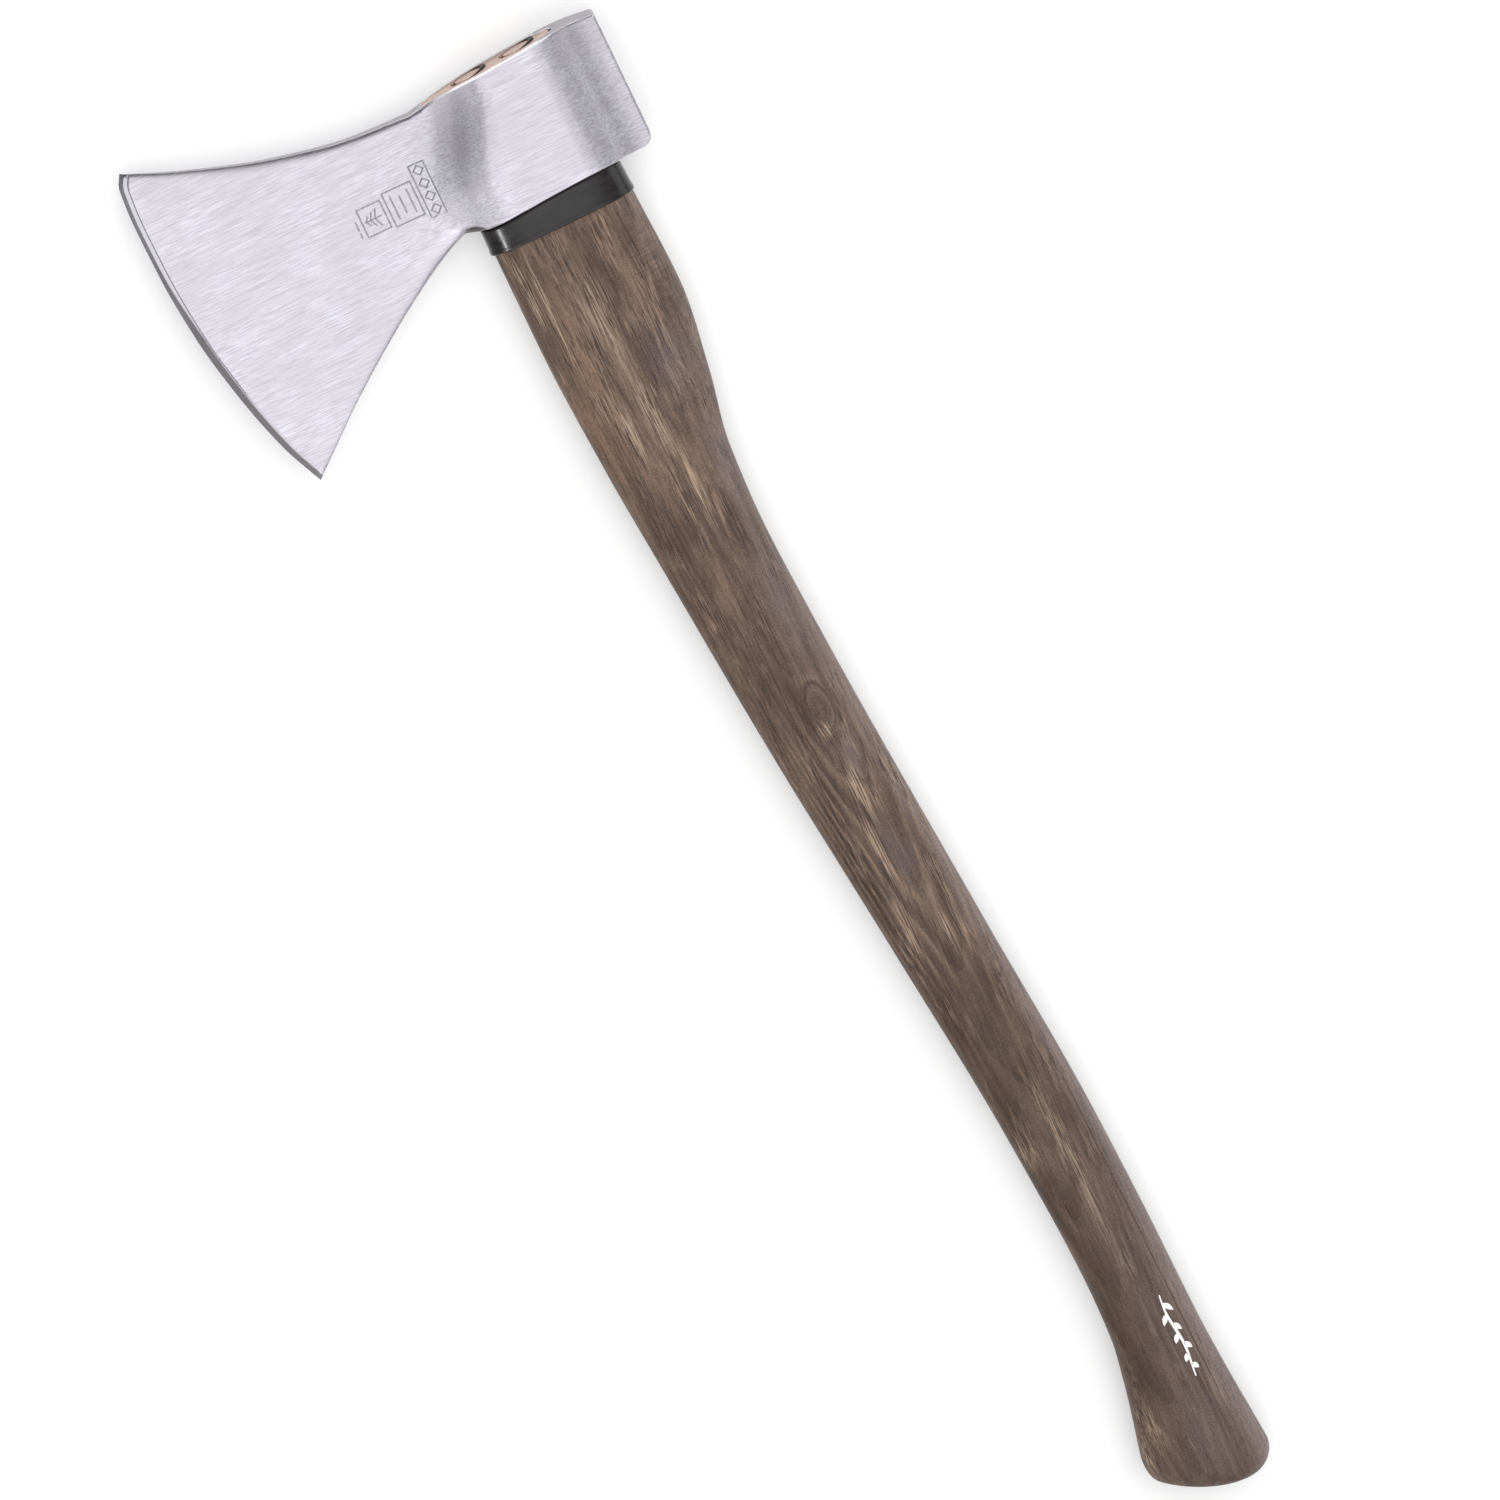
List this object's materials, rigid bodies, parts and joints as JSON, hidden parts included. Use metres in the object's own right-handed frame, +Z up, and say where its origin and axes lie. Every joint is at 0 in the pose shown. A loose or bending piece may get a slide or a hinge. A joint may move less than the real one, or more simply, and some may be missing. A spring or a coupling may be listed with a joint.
{
  "type": "felling axe",
  "caption": "Felling axe with a fan-shaped steel head wedged on a curved hickory handle, and a dark sleeve guarding the wood under the head.",
  "frame": {"origin": "on the flat of the lower cheek, straight under the middle of the eye block, as the axe lies on its side", "axes": "+X from the poll towards the cutting edge, +Y down the handle towards the butt, +Z up, through the thickness of the head"},
  "size_m": [0.2204, 0.7412, 0.031],
  "materials": {
    "forged_steel": "fine-ground bright steel with brushing along the head",
    "hickory": "brown-stained open-pored hickory, oiled",
    "sleeve_rubber": "black moulded rubber, satin",
    "wedge_steel": "dark mill finish"
  },
  "bodies": {
    "root": {"axe_head": "forged_steel", "handle": "hickory", "guard_sleeve": "sleeve_rubber", "ring_wedge_front": "wedge_steel", "ring_wedge_rear": "wedge_steel"}
  },
  "joints": []
}
